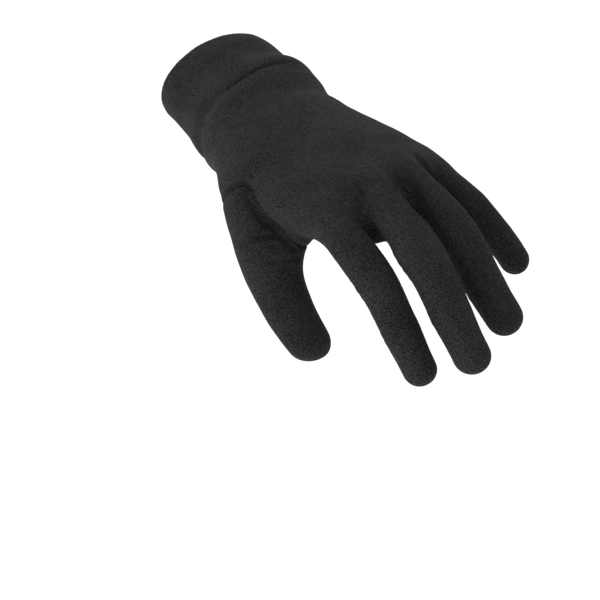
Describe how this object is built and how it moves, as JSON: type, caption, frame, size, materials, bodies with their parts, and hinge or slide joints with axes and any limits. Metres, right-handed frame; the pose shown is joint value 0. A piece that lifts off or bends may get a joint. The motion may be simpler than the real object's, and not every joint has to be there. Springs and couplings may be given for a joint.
{
  "type": "glove liner",
  "caption": "Thin knitted glove liner for a left hand, standing open as worn, with a sewn-in thumb, strips between the fingers and a turned hem at the wrist.",
  "frame": {"origin": "centre of the wrist opening, in the plane of the hem's edge", "axes": "+Z out of the back of the hand, -Y along the fingers, +Y out of the wrist opening along the arm, -X to the thumb"},
  "size_m": [0.1128, 0.2496, 0.0979],
  "materials": {
    "hand_knit": "matte fine jersey knit, charcoal black",
    "thumb_knit": "matte fine jersey knit, charcoal black",
    "hem_knit": "matte fine jersey knit, two layers, charcoal black",
    "strip_knit": "matte fine jersey knit, charcoal black"
  },
  "bodies": {
    "root": {"trank": "hand_knit", "thumb": "thumb_knit", "cuff_band": "hem_knit", "fourchette_index_middle": "strip_knit", "fourchette_middle_ring": "strip_knit", "fourchette_ring_little": "strip_knit"}
  },
  "joints": []
}
